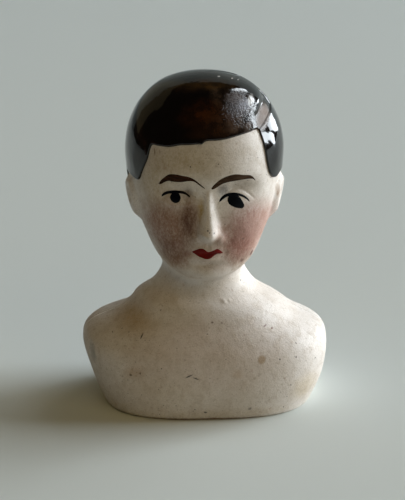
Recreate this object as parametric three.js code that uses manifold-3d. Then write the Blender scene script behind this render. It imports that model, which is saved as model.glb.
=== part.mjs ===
// Small bisque shoulder head of a gentleman doll: two pressed halves of a hollow shell joined on a flat
// seam, a glazed cap of moulded hair, and a face painted in fired enamel.
// Millimetres, +Z up, the face looks along -Y, the rim stands on z = 0. Left and right are the doll's own.
import * as THREE from 'three';
import Module from 'manifold-3d';

const wasm = await Module();
wasm.setup();

// Driving sizes of the shell.
const overallHeight = 50;
const plateWidth = 37.2;
const plateFrontDepth = 13.3;
const plateBackDepth = 10.8;
const neckRootHeight = 17.5;
const neckWidth = 12.4;
const neckFrontDepth = 5.9;
const neckBackDepth = 5.3;
const jawHeight = 20.5;
const headWidth = 22.6;
const faceDepth = 11.5;
const skullDepth = 10.8;
const seamOffset = 1.2;
const wall = 1.8;

// Hand finishing left the plate and neck a little off the head's middle line, and the doll's right
// shoulder a little higher than its left.
const handOffset = 0.35;
const shoulderSlantHeight = 0.45;

// Relief of the face and ears.
const noseHeight = 2.3;
const earHeight = 0.85;
const earHollow = 0.75;
const earWidth = 4.4;
const earLength = 6.6;
const earForwardOffset = 1.6;

// Moulded hair above the skin: the swept hair, the lower lock beside the parting, the rounded hairline
// and the full lobe that the swept hair forms above the parting, with its radius. Then the floor of the
// parting, the widths of the floor, of the lobe's fall to it and of the lock's step up from it, and the
// stretch over which the lock gains its full height.
const hairHeight = 0.6;
const lockHeight = 0.5;
const partingHeight = 0.3;
const partingFloorWidth = 1.4;
const partingFootWidth = 0.12;
const hairEdgeWidth = 0.7;
const lobeHeight = 0.5;
const lobeRadius = 3.8;
const partingWidth = 1.2;
const lockNearDistance = 0.6;
const lockFarDistance = 3;

// Part of the hair's height that is moulded in the shell, how far in from the hairline it is full, and
// the clearance between it and the glaze.
const hairBodyShare = 0.4;
const hairRampWidth = 2.4;
const glazeGap = 0.1;

// Painted enamel: its thickness, and its clearance from the faceted skin.
const enamelThickness = 0.16;
const enamelGap = 0.14;

// Margin by which a cutting solid runs past what it cuts.
const overrun = 2;

// Each row of a zone is a level of the form, from the rim to the crown: how high it lies at the seam,
// half width, height and depth at the front, height and depth at the back, step aside, and the exponent
// that squares its plan. All but the last are shares of the zone's own sizes.
const plateShares = [
  [0, 0.835, 0, 0.935, 0, 0.935, 1, 2.9],
  [0.05, 0.865, 0.05, 0.98, 0.05, 0.975, 1, 2.9],
  [0.26, 0.95, 0.26, 1, 0.26, 1, 1, 2.75],
  [0.51, 1, 0.5, 0.955, 0.51, 0.99, 0.1, 2.5],
  [0.655, 0.935, 0.65, 0.855, 0.65, 0.91, 1, 2.3],
  [0.78, 0.7, 0.77, 0.745, 0.755, 0.75, 2.6, 2.25],
  [0.9, 0.575, 0.895, 0.63, 0.885, 0.62, 1.3, 2.2],
];
const neckShares = [
  [0.02, 1.27, -0.08, 1.13, 0.12, 1.15, 0, 2.1],
  [0.93, 1, 0.6, 1, 1.37, 1, -0.6, 2.1],
];
const headShares = [
  [0.062, 0.6, 0, 0.71, 0.128, 0.575, -0.3, 2.1],
  [0.135, 0.71, 0.048, 0.94, 0.211, 0.74, 0, 2.1],
  [0.232, 0.815, 0.163, 0.985, 0.308, 0.89, 0, 2.1],
  [0.349, 0.93, 0.301, 1, 0.412, 0.97, 0, 2.1],
  [0.474, 0.99, 0.46, 0.99, 0.522, 1, 0, 2.15],
  [0.606, 1, 0.612, 1, 0.647, 0.97, 0, 2.15],
  [0.744, 0.95, 0.751, 0.925, 0.779, 0.88, 0, 2.1],
  [0.869, 0.79, 0.869, 0.74, 0.893, 0.715, 0, 2.05],
  [0.962, 0.5, 0.962, 0.46, 0.97, 0.455, 0, 2],
  [1, 0, 1, 0, 1, 0, 0, 2],
];
const plateZone = {
  foot: 0, rise: neckRootHeight, half: plateWidth / 2, front: plateFrontDepth, back: plateBackDepth,
};
const neckZone = {
  foot: neckRootHeight, rise: jawHeight - neckRootHeight, half: neckWidth / 2, front: neckFrontDepth,
  back: neckBackDepth,
};
const headZone = {
  foot: jawHeight, rise: overallHeight - hairHeight - jawHeight, half: headWidth / 2, front: faceDepth,
  back: skullDepth,
};

// Levels of the whole form in millimetres, as columns that the spline below reads.
function sizeLevels(shares, zone) {
  return shares.map(([side, half, frontRise, front, backRise, back, aside, square]) => ({
    side: zone.foot + side * zone.rise,
    half: half * zone.half,
    frontRise: zone.foot + frontRise * zone.rise,
    front: front * zone.front,
    backRise: zone.foot + backRise * zone.rise,
    back: back * zone.back,
    aside: aside * handOffset,
    square,
  }));
}
const levels = [
  ...sizeLevels(plateShares, plateZone),
  ...sizeLevels(neckShares, neckZone),
  ...sizeLevels(headShares, headZone),
];
const rimLevel = 1;
const crownLevel = levels.length - 1;
const jawLevel = plateShares.length + neckShares.length;
const domeLevel = crownLevel - 2;
const shrinking = ['half', 'front', 'back'];

// One column of the levels at a level number that need not be whole: a Catmull-Rom spline whose end
// beyond the crown is the mirror image of the side below it, so that the crown is round.
function columnAt(name, level) {
  const start = Math.min(Math.max(Math.floor(level), 0), crownLevel - 1);
  const part = level - start;
  const value = (index) => {
    if (index < 0) return 2 * levels[0][name] - levels[1][name];
    if (index > crownLevel) return (shrinking.includes(name) ? -1 : 1) * levels[crownLevel - 1][name];
    return levels[index][name];
  };
  const [a, b, c, d] = [value(start - 1), value(start), value(start + 1), value(start + 2)];
  return b + 0.5 * part * (c - a + part * (2 * a - 5 * b + 4 * c - d + part * (3 * (b - c) + d - a)));
}

function smoothRise([low, high], value) {
  const share = Math.min(Math.max((value - low) / (high - low), 0), 1);
  return share * share * (3 - 2 * share);
}

function bell(across, up, spreadAcross, spreadUp) {
  return Math.exp(-((across / spreadAcross) ** 2) - (up / spreadUp) ** 2);
}

// Level numbers between which the slant of the shoulders comes in and goes out again.
const slantStart = [1, 3];
const slantEnd = [6, 8];

// Plain form without features. The angle is 0 at the doll's left, 90 at the face, 180 at its right.
function plainAt(level, angle) {
  const turn = THREE.MathUtils.degToRad(angle);
  const cos = Math.cos(turn);
  const sin = angle % 180 === 0 ? 0 : Math.sin(turn);
  const power = 2 / columnAt('square', level);
  const side = columnAt('side', level);
  const ahead = sin >= 0;
  const depth = columnAt(ahead ? 'front' : 'back', level) * Math.abs(sin) ** power;
  const rise = columnAt(ahead ? 'frontRise' : 'backRise', level) - side;
  const shoulder = smoothRise(slantStart, level) * (1 - smoothRise(slantEnd, level));
  return new THREE.Vector3(
    columnAt('half', level) * Math.sign(cos) * Math.abs(cos) ** power + columnAt('aside', level),
    seamOffset + (ahead ? -depth : depth),
    side + rise * sin * sin - shoulderSlantHeight * shoulder * cos,
  );
}

// Face relief: place across and up the head as shares of its half width and rise, spread both ways,
// and relief as a share of the nose's height. Rows off the middle stand on both sides.
const faceShares = [
  [0.37, 0.571, 0.3, 0.052, 0.13],
  [0.354, 0.491, 0.257, 0.066, -0.4],
  [0.407, 0.46, 0.168, 0.042, 0.24],
  [0.46, 0.28, 0.265, 0.104, 0.15],
  [0.72, 0.51, 0.13, 0.09, 0.12],
  [0, 0.272, 0.125, 0.037, 0.37],
  [0.14, 0.262, 0.052, 0.02, 0.14],
  [0, 0.183, 0.283, 0.069, 0.15],
  [0, 0.2, 0.17, 0.016, 0.13],
  [0, 0.151, 0.13, 0.018, 0.16],
  [0, 0.177, 0.19, 0.01, -0.08],
  [0, 0.118, 0.195, 0.017, -0.13],
  [0, 0.062, 0.23, 0.045, 0.24],
];
// Nose: top, tip and foot up the head, half widths of the bridge and tip, the relief of the bridge and
// of the whole ridge with the stretch that the bridge comes in over, and exponents of the ridge's rise
// and of its section.
const noseTopShare = 0.516;
const noseTipShare = 0.29;
const noseFootShare = 0.226;
const bridgeWidthShare = 0.075;
const tipWidthShare = 0.105;
const bridgeReliefShare = 0.15;
const ridgeReliefShare = 0.62;
const bridgeStartShares = [0, 0.25];
const ridgeRise = 1.35;
const ridgeSection = 1.9;

function noseAt(across, up) {
  const down = Math.min(Math.max((noseTopShare - up) / (noseTopShare - noseTipShare), 0), 1);
  const bridge = bridgeReliefShare * smoothRise(bridgeStartShares, down);
  const relief = bridge + (ridgeReliefShare - bridgeReliefShare) * down ** ridgeRise;
  const width = bridgeWidthShare + (tipWidthShare - bridgeWidthShare) * down ** 2;
  const ridge = Math.exp(-(Math.abs(across / width) ** ridgeSection));
  return relief * ridge * smoothRise([noseFootShare, noseTipShare], up);
}

function faceAt(x, z) {
  const across = x / headZone.half;
  const up = (z - headZone.foot) / headZone.rise;
  let relief = noseAt(across, up);
  for (const [place, height, spreadAcross, spreadUp, share] of faceShares) {
    const sides = place === 0 ? [0] : [-place, place];
    for (const side of sides) {
      relief += share * bell(across - side, up - height, spreadAcross, spreadUp);
    }
  }
  return relief * noseHeight;
}

// Ear: a low leaning oval. Its middle is a share of the head's rise, and the lean, the rounding of its
// rim, and the shift and spread of its hollow are shares of its own half sizes.
const earRiseShare = 0.394;
const earLeanShare = 0.16;
const earRimShares = [0.62, 1.12];
const earHollowShare = 0.12;
const earHollowSpreadShare = 0.42;

function earAt(y, z) {
  const up = z - headZone.foot - earRiseShare * headZone.rise;
  const across = (y + earForwardOffset - earLeanShare * up) / (earWidth / 2);
  const along = up / (earLength / 2);
  const rim = 1 - smoothRise(earRimShares, Math.hypot(across, along));
  const hollow = bell(
    across + earHollowShare, along - earHollowShare, earHollowSpreadShare, earHollowSpreadShare,
  );
  return earHeight * rim - earHollow * hollow;
}

// Skin: the plain form with the face pushed forward and the ears pushed out sideways. The shares say
// how far a place must look forward, or sideways, for the face and the ears to come in.
const facingShares = [0.25, 0.6];
const besideShares = [0.25, 0.7];

function skinAt(level, angle) {
  const point = plainAt(level, angle);
  if (level < jawLevel - 1) return point;
  const turn = THREE.MathUtils.degToRad(angle);
  const { x, z } = point;
  const fadeIn = smoothRise([jawLevel - 1, jawLevel], level);
  const facing = smoothRise(facingShares, Math.sin(turn)) * fadeIn;
  point.y -= faceAt(x - columnAt('aside', level), z) * facing;
  if (angle >= 0 && angle <= 180) {
    const beside = smoothRise(besideShares, Math.abs(Math.cos(turn))) * fadeIn;
    point.x += Math.sign(Math.cos(turn)) * earAt(point.y, z) * beside;
  }
  return point;
}

// Hair: the level that the hairline reaches at each angle, from the nape round the doll's left side,
// over the forehead and round its right side back to the nape.
const hairlinePlaces = [
  [-90, 10.35], [-60, 10.45], [-35, 10.9], [-18, 11.6], [-8, 12.6], [-3, 13.25], [3, 13.44],
  [20, 13.42], [28, 13.34], [34, 13.42], [38.8, 13.65], [41.3, 14], [42.6, 14.4], [43.9, 14.8],
  [44.8, 15.07], [45.1, 15.24], [49.2, 15.27], [55, 15.23], [64.8, 15.17], [80, 15.05], [92.8, 15.01],
  [97.8, 14.91], [110.5, 14.85], [119.5, 14.76], [129.2, 14.75], [135, 14.74], [136.4, 14.6],
  [138.2, 14.26], [141.5, 13.95], [145, 13.65], [148, 13.4], [151, 13.32], [160, 13.36], [174, 13.38],
  [182, 13.25], [188, 12.6], [198, 11.6], [215, 10.9], [240, 10.45], [270, 10.35],
];
// Parting: the level of the groove at each angle, from the side of the crown forward to the hairline,
// and the angles between which the lock beside it comes in at the back and goes out at the front.
const partingPlaces = [
  [-40, 17.6], [-25, 16.9], [-10, 16.25], [5, 15.8], [18, 15.66], [28, 15.57], [37, 15.4], [45.1, 15.24],
];
const lockBackAngles = [-45, -10];
const lockFrontAngles = [45, 48];
// Middle of the lobe: how far round and up the swept hair stands out most.
const lobeAngle = 45;
const lobeLevel = 16.2;
const levelRise = headZone.rise / (crownLevel - jawLevel);
const angleArc = headZone.half * THREE.MathUtils.degToRad(1);
const lobeMiddle = plainAt(lobeLevel, lobeAngle);

// Centre of the head, as a share of its rise: the hair stands out along lines from it.
const headCentreShare = 0.45;
const headCentre = new THREE.Vector3(0, seamOffset, headZone.foot + headCentreShare * headZone.rise);

function readTable(table, value) {
  const last = table.length - 1;
  if (value <= table[0][0]) return table[0][1];
  if (value >= table[last][0]) return table[last][1];
  const index = table.findIndex(([place]) => place > value);
  const [[low, from], [high, to]] = [table[index - 1], table[index]];
  return from + (to - from) * (value - low) / (high - low);
}

// Hairline laid out flat, as evenly spaced points: the angle along the head's girth, the level upwards.
const hairColumns = 72;
const fullTurn = 360;
const hairline = new THREE.CatmullRomCurve3(
  hairlinePlaces.map(([angle, level]) => new THREE.Vector3(angle * angleArc, level * levelRise, 0)),
  false,
  'centripetal',
);
hairline.arcLengthDivisions = 2000;
const hairFeet = hairline.getSpacedPoints(hairColumns);

// Distance of a place on the head from the hairline, zero on the skin below it.
function hairDepth(level, angle) {
  const turned = angle > 270 ? angle - fullTurn : angle;
  if (level <= readTable(hairlinePlaces, turned)) return 0;
  const place = new THREE.Vector3(turned * angleArc, level * levelRise, 0);
  const nearest = new THREE.Vector3();
  const distances = hairFeet.slice(1).map((foot, index) => {
    new THREE.Line3(hairFeet[index], foot).closestPointToPoint(place, true, nearest);
    return nearest.distanceTo(place);
  });
  return Math.min(...distances);
}

// Height of the hair above the skin: full on the swept side and more on its lobe, which falls to the
// flat floor of the parting. The lock stands up from the other side of that floor.
function hairAt(level, angle) {
  const turned = angle > 270 ? angle - fullTurn : angle;
  const above = (level - readTable(partingPlaces, turned)) * levelRise;
  const beside = smoothRise(lockBackAngles, turned) * (1 - smoothRise(lockFrontAngles, turned));
  const fall = Math.min(Math.max(1 - (above - partingFloorWidth) / partingWidth, 0), 1) ** 2;
  const regained = smoothRise([lockNearDistance, lockFarDistance], -above);
  const lock = lockHeight + (hairHeight - lockHeight) * regained;
  const low = lock + (partingHeight - lock) * smoothRise([-partingFootWidth, partingFootWidth], above);
  const off = plainAt(level, angle).distanceTo(lobeMiddle);
  const full = hairHeight + lobeHeight * Math.exp(-((off / lobeRadius) ** 2));
  return full + (low - full) * beside * fall;
}

function liftFrom(point, height) {
  const outward = point.clone().sub(headCentre).normalize();
  return point.clone().addScaledVector(outward, height);
}

// Low body of hair under the glaze, moulded in the shell itself.
function bodyAt(level, angle) {
  const inward = smoothRise([hairEdgeWidth / 2, hairRampWidth], hairDepth(level, angle));
  return hairBodyShare * hairAt(level, angle) * inward;
}

function shellAt(level, angle) {
  return liftFrom(skinAt(level, angle), bodyAt(level, angle));
}

// Closed solid from rings of points. An end ring of one point is a tip, any other end gets a flat cap.
function loft(rings) {
  const positions = [];
  const indices = [];
  const starts = rings.map((ring) => {
    const start = positions.length / 3;
    ring.forEach((point) => positions.push(point.x, point.y, point.z));
    return start;
  });
  const count = Math.max(...rings.map((ring) => ring.length));
  const fan = (ringIndex, tip, flip) => {
    for (let i = 0; i < count; i += 1) {
      const [a, b] = [starts[ringIndex] + i, starts[ringIndex] + (i + 1) % count];
      indices.push(tip, flip ? b : a, flip ? a : b);
    }
  };
  const cap = (ringIndex, flip) => {
    const middle = new THREE.Vector3();
    rings[ringIndex].forEach((point) => middle.add(point));
    middle.divideScalar(count);
    positions.push(middle.x, middle.y, middle.z);
    fan(ringIndex, positions.length / 3 - 1, flip);
  };
  for (let r = 0; r + 1 < rings.length; r += 1) {
    if (rings[r].length === 1) fan(r + 1, starts[r], false);
    else if (rings[r + 1].length === 1) fan(r, starts[r + 1], true);
    else {
      for (let i = 0; i < count; i += 1) {
        const next = (i + 1) % count;
        const [a, b, c, d] = [starts[r] + i, starts[r] + next, starts[r + 1] + next, starts[r + 1] + i];
        indices.push(a, c, b, a, d, c);
      }
    }
  }
  if (rings[0].length > 1) cap(0, false);
  if (rings[rings.length - 1].length > 1) cap(rings.length - 1, true);
  const geometry = new THREE.BufferGeometry();
  geometry.setAttribute('position', new THREE.Float32BufferAttribute(positions, 3));
  geometry.setIndex(indices);
  return geometry;
}

function toSolid(geometry) {
  return new wasm.Manifold(new wasm.Mesh({
    numProp: 3,
    vertProperties: new Float32Array(geometry.getAttribute('position').array),
    triVerts: new Uint32Array(geometry.index.array),
  }));
}

function toGeometry(solid) {
  const mesh = solid.getMesh();
  const geometry = new THREE.BufferGeometry();
  geometry.setAttribute('position', new THREE.Float32BufferAttribute(mesh.vertProperties, 3));
  geometry.setIndex([...mesh.triVerts]);
  return geometry;
}

// Evenly spaced steps from one number to another, both ends included.
function steps(from, to, count) {
  return Array.from({ length: count + 1 }, (_, i) => from + (to - from) * i / count);
}

// Runs of rings up the shell, each from one level number to another in so many steps: close together
// at the rim, over the face and over the dome, wider elsewhere.
const browLevel = 13.8;
const shellRuns = [
  [0, rimLevel, 2], [rimLevel, 3, 3], [3, jawLevel, 11], [jawLevel, browLevel, 30],
  [browLevel, domeLevel, 6], [domeLevel, crownLevel, 9],
];

// Angles of the front half's columns, closer together over the middle of the face.
const faceCrowding = 0.28;
const frontAngles = steps(-1, 1, 46).map((share) => (
  90 + 90 * share * (1 - faceCrowding + faceCrowding * share * share)
));
const rearAngles = steps(180, 360, 24);

function halfForm(angles) {
  const ringLevels = shellRuns.flatMap(([from, to, count]) => steps(from, to, count).slice(0, -1));
  const rings = ringLevels.map((level) => angles.map((angle) => shellAt(level, angle)));
  return toSolid(loft([...rings, [shellAt(crownLevel, 0)]]));
}

// Hollow: the plain form set in by the wall square to its own slope, straight and open below the rim.
const slopeReach = 0.02;
const hollowRuns = [[rimLevel, jawLevel, 12], [jawLevel + 0.6, crownLevel - 0.8, 12]];

function hollowAt(level, angle) {
  const along = plainAt(level + slopeReach, angle).sub(plainAt(level - slopeReach, angle));
  const around = plainAt(level, angle + 1).sub(plainAt(level, angle - 1));
  const inward = around.cross(along).normalize();
  return plainAt(level, angle).addScaledVector(inward, wall);
}

function hollowForm() {
  const angles = steps(0, fullTurn, 36).slice(0, -1);
  const insideLevels = hollowRuns.flatMap(([from, to, count]) => steps(from, to, count));
  const rings = insideLevels.map((level) => angles.map((angle) => hollowAt(level, angle)));
  const below = rings[0].map((point) => new THREE.Vector3(point.x, point.y, -overrun));
  const tip = plainAt(crownLevel, 0);
  tip.z -= wall;
  return toSolid(loft([below, ...rings, [tip]]));
}

// Painted marks: rows of across, top and bottom, as shares of the head's half width and rise.
const rightEyebrowShares = [
  [-0.625, 0.53, 0.52], [-0.59, 0.552, 0.526], [-0.55, 0.569, 0.538], [-0.5, 0.585, 0.547],
  [-0.43, 0.59, 0.544], [-0.34, 0.586, 0.546], [-0.25, 0.58, 0.555], [-0.18, 0.567, 0.553],
  [-0.11, 0.543, 0.532], [-0.035, 0.516, 0.511],
];
const leftEyebrowShares = [
  [0.035, 0.518, 0.51], [0.07, 0.536, 0.511], [0.12, 0.556, 0.522], [0.18, 0.572, 0.537],
  [0.26, 0.584, 0.545], [0.35, 0.588, 0.549], [0.45, 0.58, 0.552], [0.54, 0.572, 0.551],
  [0.585, 0.557, 0.546], [0.615, 0.537, 0.531],
];
const rightLidShares = [
  [-0.59, 0.464, 0.457], [-0.51, 0.486, 0.477], [-0.41, 0.494, 0.485], [-0.31, 0.488, 0.479],
  [-0.23, 0.472, 0.465],
];
const leftLidShares = [
  [0.135, 0.45, 0.442], [0.21, 0.479, 0.47], [0.32, 0.485, 0.475], [0.43, 0.473, 0.464],
  [0.53, 0.437, 0.43],
];
const rightIrisShares = [
  [-0.485, 0.462, 0.453], [-0.465, 0.476, 0.44], [-0.415, 0.479, 0.432], [-0.365, 0.476, 0.44],
  [-0.35, 0.462, 0.453],
];
const leftIrisShares = [
  [0.255, 0.453, 0.444], [0.275, 0.468, 0.425], [0.335, 0.47, 0.412], [0.395, 0.455, 0.406],
  [0.455, 0.43, 0.408], [0.465, 0.422, 0.414],
];
const lipsShares = [
  [-0.212, 0.189, 0.184], [-0.165, 0.201, 0.173], [-0.12, 0.209, 0.163], [-0.072, 0.21, 0.157],
  [-0.04, 0.203, 0.154], [-0.005, 0.193, 0.154], [0.03, 0.196, 0.158], [0.07, 0.202, 0.168],
  [0.115, 0.207, 0.176], [0.155, 0.196, 0.176], [0.19, 0.181, 0.177],
];

// Level and angle of the front skin at a place across and up: the level is halved in on until the
// plain form passes through the place.
const halvings = 30;

function frontPlace(x, z) {
  let [low, high] = [jawLevel, domeLevel];
  let angle = 90;
  for (let pass = 0; pass < halvings; pass += 1) {
    const level = (low + high) / 2;
    const share = (x - columnAt('aside', level)) / columnAt('half', level);
    const cos = Math.sign(share) * Math.min(Math.abs(share), 1) ** (columnAt('square', level) / 2);
    angle = THREE.MathUtils.radToDeg(Math.acos(cos));
    if (plainAt(level, angle).z < z) low = level;
    else high = level;
  }
  return [(low + high) / 2, angle];
}

// Enamel mark that follows the skin: each ring goes up its outer face and down its inner face.
function paintedMark(shares, columns, rows) {
  const curve = (index) => new THREE.CatmullRomCurve3(shares.map((row) => new THREE.Vector3(
    row[0] * headZone.half, 0, headZone.foot + row[index] * headZone.rise,
  )));
  const [top, bottom] = [curve(1), curve(2)];
  const rings = steps(0, 1, columns).map((share) => {
    const [high, low] = [top.getPoint(share), bottom.getPoint(share)];
    const faces = [enamelGap + enamelThickness, enamelGap].map((height) => steps(0, 1, rows).map((up) => {
      const place = low.clone().lerp(high, up);
      const point = skinAt(...frontPlace(place.x, place.z));
      point.y -= height;
      return point;
    }));
    return [...faces[0], ...faces[1].reverse()];
  });
  return loft(rings);
}

// Glazed hair cap: its columns start at even distances along the hairline and run together at the
// crown. It goes down the inner face, round the rolled lower edge and up the outer face. Below the dome
// its rows close up towards the hairline, and over the dome they lie level all round.
const capLowRows = 9;
const capDomeRows = 8;
const capCrowding = 1.2;

function hairCap() {
  const rows = [
    ...steps(0, 1, capLowRows).slice(0, -1).map((share) => [share ** capCrowding, 0]),
    ...steps(0, 1, capDomeRows).slice(0, -1).map((share) => [1, share]),
  ];
  const place = (foot, index, row) => {
    const angle = foot.x / angleArc;
    const even = hairlinePlaces[0][0] + fullTurn * index / hairColumns;
    const level = foot.y / levelRise;
    const [low, dome] = rows[row];
    return [
      level + (domeLevel - level) * low + (crownLevel - domeLevel) * dome,
      angle + (even - angle) * smoothRise([0, rows.length], row),
    ];
  };
  const ring = (row, heightAt) => hairFeet.slice(0, -1).map((foot, index) => {
    const [level, angle] = place(foot, index, row);
    return liftFrom(skinAt(level, angle), heightAt(level, angle));
  });
  const seatAt = (level, angle) => glazeGap + bodyAt(level, angle);
  const topAt = (level, angle) => {
    const edge = glazeGap + enamelThickness;
    const inward = Math.min(hairDepth(level, angle) / hairEdgeWidth, 1);
    const roll = Math.sqrt(1 - (1 - inward) ** 2);
    return edge + (hairAt(level, angle) - edge) * roll;
  };
  const tip = skinAt(crownLevel, 0);
  const inner = rows.map((_, row) => ring(row, seatAt)).reverse();
  const outer = rows.map((_, row) => ring(row, topAt));
  return loft([
    [liftFrom(tip, seatAt(crownLevel, 90))], ...inner, ...outer, [liftFrom(tip, hairHeight)],
  ]);
}

const bisque = new THREE.MeshStandardMaterial({ color: 0xd9cfc2, roughness: 0.75, metalness: 0 });
const hairGlaze = new THREE.MeshStandardMaterial({ color: 0x2a1710, roughness: 0.08, metalness: 0 });
const browEnamel = new THREE.MeshStandardMaterial({ color: 0x4b2f22, roughness: 0.45, metalness: 0 });
const eyeEnamel = new THREE.MeshStandardMaterial({ color: 0x0b0c12, roughness: 0.3, metalness: 0 });
const lipEnamel = new THREE.MeshStandardMaterial({ color: 0x8e1519, roughness: 0.4, metalness: 0 });

const head = new THREE.Group();

function addPiece(name, geometry, material) {
  const piece = new THREE.Mesh(geometry, material);
  piece.name = name;
  head.add(piece);
}

const hollow = hollowForm();
addPiece('front_shell', toGeometry(halfForm(frontAngles).subtract(hollow)), bisque);
addPiece('rear_shell', toGeometry(halfForm(rearAngles).subtract(hollow)), bisque);
addPiece('hair_glaze', hairCap(), hairGlaze);

// Each mark with its steps across and up.
addPiece('right_eyebrow', paintedMark(rightEyebrowShares, 14, 2), browEnamel);
addPiece('left_eyebrow', paintedMark(leftEyebrowShares, 14, 2), browEnamel);
addPiece('right_lid_line', paintedMark(rightLidShares, 10, 1), eyeEnamel);
addPiece('left_lid_line', paintedMark(leftLidShares, 10, 1), eyeEnamel);
addPiece('right_iris', paintedMark(rightIrisShares, 8, 2), eyeEnamel);
addPiece('left_iris', paintedMark(leftIrisShares, 8, 2), eyeEnamel);
addPiece('lips', paintedMark(lipsShares, 14, 2), lipEnamel);

export default head;
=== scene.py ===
"""Bisque shoulder head of a gentleman doll, dressed in Blender round its CAD frame.

Metres, +Z up, the face looks along -Y. Left and right are the doll's own.
"""
import math

import bmesh
import bpy
import numpy as np
from mathutils import Matrix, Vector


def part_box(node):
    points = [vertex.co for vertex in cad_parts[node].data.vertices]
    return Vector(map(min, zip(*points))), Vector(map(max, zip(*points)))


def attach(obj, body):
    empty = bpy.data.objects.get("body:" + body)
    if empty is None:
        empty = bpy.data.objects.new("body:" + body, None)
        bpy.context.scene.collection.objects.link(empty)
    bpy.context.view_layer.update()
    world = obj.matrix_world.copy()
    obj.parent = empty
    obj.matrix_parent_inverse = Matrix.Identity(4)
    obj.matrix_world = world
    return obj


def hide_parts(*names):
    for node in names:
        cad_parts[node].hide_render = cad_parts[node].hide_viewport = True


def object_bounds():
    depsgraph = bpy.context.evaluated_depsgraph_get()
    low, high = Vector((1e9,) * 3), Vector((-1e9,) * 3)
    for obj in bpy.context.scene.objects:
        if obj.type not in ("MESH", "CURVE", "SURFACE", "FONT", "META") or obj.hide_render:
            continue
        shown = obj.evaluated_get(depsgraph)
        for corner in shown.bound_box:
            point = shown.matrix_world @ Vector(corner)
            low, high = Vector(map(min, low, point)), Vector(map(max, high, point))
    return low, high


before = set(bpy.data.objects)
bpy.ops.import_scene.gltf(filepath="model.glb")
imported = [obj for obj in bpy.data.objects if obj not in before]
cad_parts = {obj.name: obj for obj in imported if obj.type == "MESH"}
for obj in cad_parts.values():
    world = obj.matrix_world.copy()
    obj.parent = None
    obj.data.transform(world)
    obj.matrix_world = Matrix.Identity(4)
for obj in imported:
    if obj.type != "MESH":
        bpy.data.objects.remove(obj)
cad_low, cad_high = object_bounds()

# The photographer's place: a small camera over a table, 3 degrees round towards the doll's right and
# 18 degrees up, so that the face is seen almost square on and the shoulders from a little above.
mm = 0.001
photo_width, photo_height = 405, 500
view_azimuth, view_elevation = math.radians(-3), math.radians(18)
view_distance = 290 * mm
view_scale = 6.656 / mm
view_target = np.array([0, 0, 25]) * mm
target_pixel = (204.7, 236.04)
sensor_side = 36.0
nearest_seen = 10 * mm

towards_camera = np.array([
    math.sin(view_azimuth) * math.cos(view_elevation),
    -math.cos(view_azimuth) * math.cos(view_elevation),
    math.sin(view_elevation),
])
camera_data = bpy.data.cameras.new("photo_camera")
camera_data.sensor_width = sensor_side
camera_data.lens = view_scale * view_distance / photo_height * sensor_side
camera_data.shift_x = (photo_width / 2 - target_pixel[0]) / photo_height
camera_data.shift_y = (target_pixel[1] - photo_height / 2) / photo_height
camera_data.clip_start = nearest_seen
camera = bpy.data.objects.new("photo_camera", camera_data)
camera.location = view_target + view_distance * towards_camera
camera.rotation_euler = (math.pi / 2 - view_elevation, 0, view_azimuth)
bpy.context.scene.collection.objects.link(camera)
bpy.context.scene.camera = camera
bpy.context.scene.view_settings.view_transform = "Standard"


# The table and the wall behind it: one pale matt sheet that lies flat under the head, turns up in a
# wide bend behind it and stands as the wall. Its colour is the photograph's cool grey-green white.
def mesh_object(name, points, faces, material):
    """Makes an object at the origin from an array of points and rows of point numbers."""
    mesh = bpy.data.meshes.new(name)
    mesh.from_pydata(np.asarray(points).reshape(-1, 3).tolist(), [], [list(face) for face in faces])
    mesh.materials.append(material)
    mesh.polygons.foreach_set("use_smooth", np.ones(len(mesh.polygons), bool))
    mesh.update()
    piece = bpy.data.objects.new(name, mesh)
    bpy.context.scene.collection.objects.link(piece)
    return piece


def grid_faces(rows, columns, closed):
    """Quads between neighbouring rows of a grid of points; a closed grid also joins its last column to
    its first."""
    across = columns if closed else columns - 1
    row, column = np.meshgrid(np.arange(rows - 1), np.arange(across), indexing="ij")
    here = row * columns + column
    beside = row * columns + (column + 1) % columns
    return np.stack([here, beside, beside + columns, here + columns], -1).reshape(-1, 4).tolist()


def principled(name, color, roughness, **sockets):
    """A material with one Principled BSDF whose plain values are set on its own sockets."""
    material = bpy.data.materials.new(name)
    material.use_nodes = True
    shader = material.node_tree.nodes["Principled BSDF"]
    shader.inputs["Base Color"].default_value = (*color, 1)
    shader.inputs["Roughness"].default_value = roughness
    for socket, value in sockets.items():
        shader.inputs[socket.replace("_", " ")].default_value = value
    return material


sheet_half_width = 1900 * mm
sheet_front = -900 * mm
bend_start = 1600 * mm
bend_radius = 300 * mm
wall_top = 1900 * mm
sheet_color = (0.645, 0.685, 0.665)


def backdrop_sheet(columns, rows):
    """Profile carried along X: straight back along the table, a quarter circle up, then straight up."""
    side = np.linspace(-sheet_half_width, sheet_half_width, columns)
    turn = np.linspace(0, math.pi / 2, rows)
    bend = bend_start + bend_radius * np.sin(turn)
    back = np.concatenate([[sheet_front], bend, bend[-1:]])
    up = np.concatenate([[0], bend_radius * (1 - np.cos(turn)), [wall_top]])
    points = np.stack(np.broadcast_arrays(side[None, :], back[:, None], up[:, None]), -1)
    return points, grid_faces(len(back), columns, False)


sheet_material = principled("pale_sheet", sheet_color, 0.9)
mesh_object("table_and_wall", *backdrop_sheet(columns=9, rows=24), sheet_material)

# The light: a wide window to the doll's left and a little behind it, a weaker one higher and further
# round, and the soft warm light of the room from the front and the right. The glaze mirrors panes,
# skylights and the dim room behind, which are lights of their own that the matt surfaces don't see.
head_middle = np.array([0, 0, 30]) * mm
window_color = (0.88, 0.95, 1.0)
sky_color = (0.74, 0.86, 1.0)
room_color = (1.0, 0.79, 0.42)
lamp_color = (1.0, 0.7, 0.28)


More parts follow.
